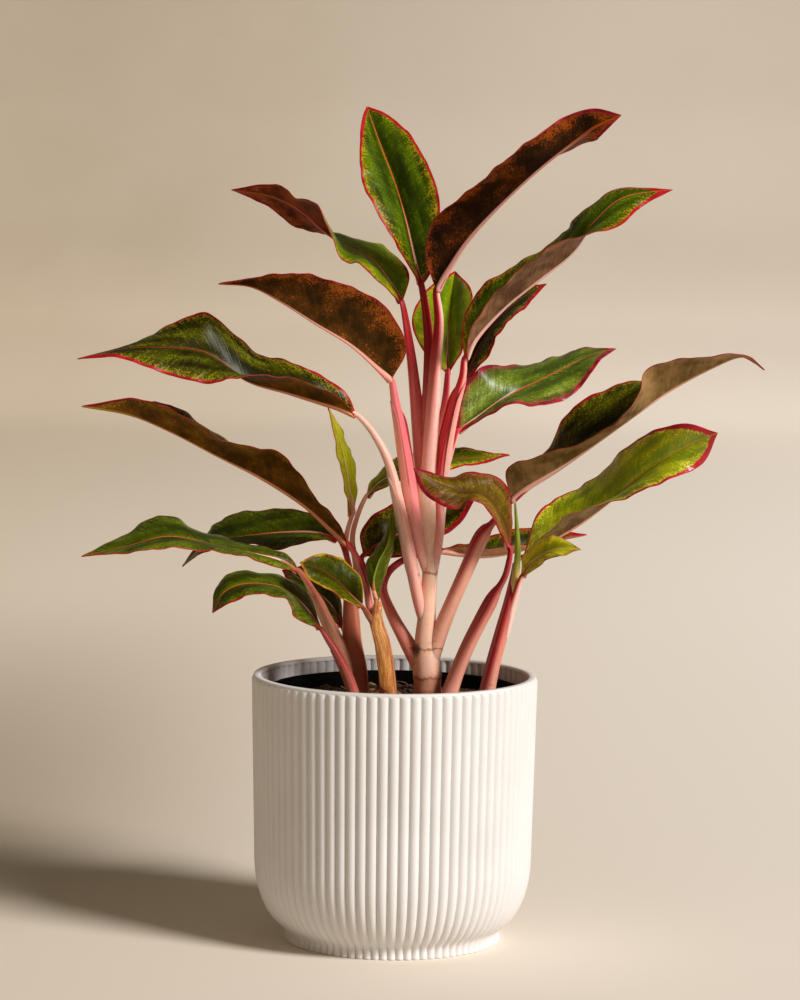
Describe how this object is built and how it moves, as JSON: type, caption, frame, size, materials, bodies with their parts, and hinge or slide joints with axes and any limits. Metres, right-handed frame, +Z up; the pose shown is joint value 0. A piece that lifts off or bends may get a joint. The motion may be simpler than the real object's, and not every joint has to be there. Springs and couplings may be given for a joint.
{
  "type": "potted chinese evergreen",
  "caption": "Leafy pot plant with pink stalks and long waved leaves edged in red, in a plastic nursery pot that stands inside a fluted white cachepot with a small flared foot.",
  "frame": {"origin": "centre of the cachepot's flat underside", "axes": "+Z up along the pot's axis, -Y to the front of the plant, +X to its right as seen from the front"},
  "size_m": [0.4203, 0.1842, 0.5255],
  "materials": {
    "cachepot": "matte",
    "nursery_pot": "matte",
    "soil": "matte",
    "stems": "satin",
    "leaf_green": "satin",
    "leaf_brown": "satin"
  },
  "bodies": {
    "root": {"outer_pot": "cachepot", "nursery_pot": "nursery_pot", "soil": "soil", "shoot_main": "stems", "shoot_right": "stems", "shoot_outer_right": "stems", "shoot_left_front": "stems", "shoot_left": "stems", "shoot_papery": "stems", "leaf_top": "leaf_green", "leaf_upper_right": "leaf_green", "leaf_behind_crown": "leaf_green", "leaf_behind_right": "leaf_green", "leaf_mid_right": "leaf_green", "leaf_low_right": "leaf_green", "leaf_small_right": "leaf_green", "leaf_behind_cane_low": "leaf_green", "leaf_behind_cane_high": "leaf_green", "leaf_dark": "leaf_green", "leaf_left": "leaf_green", "leaf_behind_left": "leaf_green", "leaf_low_left": "leaf_green", "leaf_drooping": "leaf_green", "leaf_small_front": "leaf_green", "leaf_hidden_left": "leaf_green", "leaf_top_right": "leaf_brown", "leaf_long_right": "leaf_brown", "leaf_curled": "leaf_brown", "leaf_upper_left": "leaf_brown", "leaf_left_brown": "leaf_brown", "leaf_long_left": "leaf_brown", "leaf_upright": "leaf_brown", "leaf_folded": "leaf_brown"}
  },
  "joints": []
}
